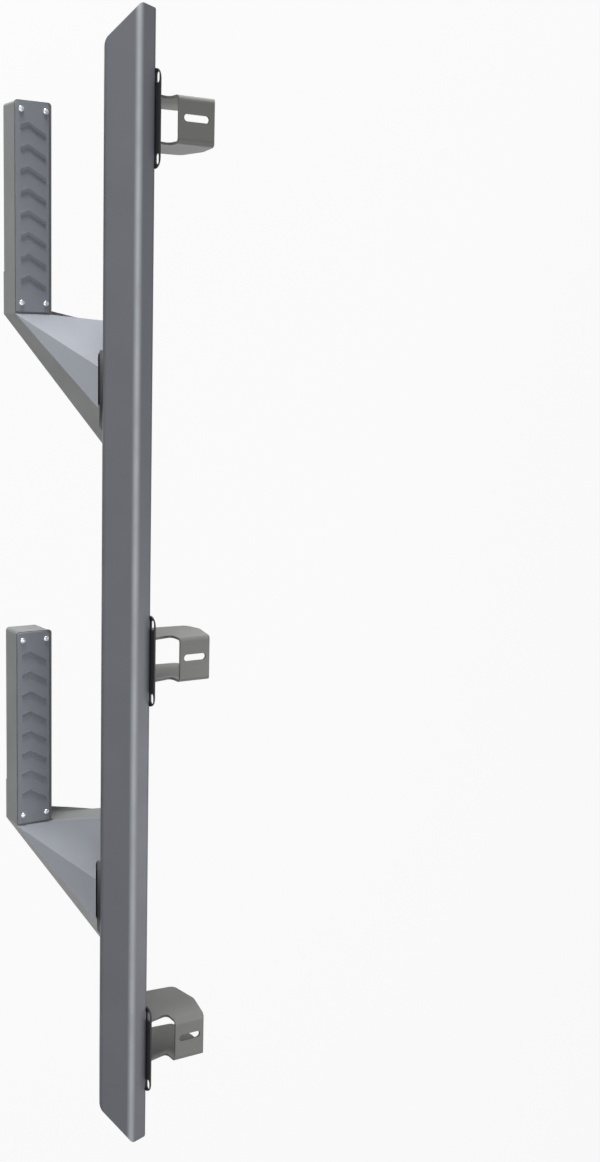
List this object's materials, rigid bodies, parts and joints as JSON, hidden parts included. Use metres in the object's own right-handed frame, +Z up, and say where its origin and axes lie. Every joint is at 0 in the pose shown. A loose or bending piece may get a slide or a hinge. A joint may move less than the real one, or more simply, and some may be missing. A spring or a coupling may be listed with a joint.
{
  "type": "drop down side step",
  "caption": "Side rail with a chamfered section and slanted ends, two lower steps on folded arms and channel brackets.",
  "frame": {"origin": "centre of the middle bracket's wall slot pattern, on the base plate's inboard face", "axes": "+X forward along the rail, +Y outboard away from the vehicle, +Z up"},
  "size_m": [2.2838, 0.3519, 0.2995],
  "materials": {
    "powder_grey": "satin powder coat",
    "tread_grey": "fine textured coat",
    "base_black": "matt black coat",
    "bright_zinc": "bright zinc plate"
  },
  "bodies": {
    "root": {"rail_tube": "powder_grey", "front_end_cap": "powder_grey", "rear_end_cap": "powder_grey", "front_bracket_channel": "powder_grey", "middle_bracket_channel": "powder_grey", "rear_bracket_channel": "powder_grey", "front_step_band": "powder_grey", "front_step_deck": "powder_grey", "front_gusset_plate": "powder_grey", "front_arm_floor": "powder_grey", "front_arm_saddle": "powder_grey", "front_tread": "tread_grey", "front_tread_screws": "bright_zinc", "front_tread_nuts": "bright_zinc", "rear_step_band": "powder_grey", "rear_step_deck": "powder_grey", "rear_gusset_plate": "powder_grey", "rear_arm_floor": "powder_grey", "rear_arm_saddle": "powder_grey", "rear_tread": "tread_grey", "rear_tread_screws": "bright_zinc", "rear_tread_nuts": "bright_zinc", "front_bracket_base": "base_black", "middle_bracket_base": "base_black", "rear_bracket_base": "base_black"}
  },
  "joints": []
}
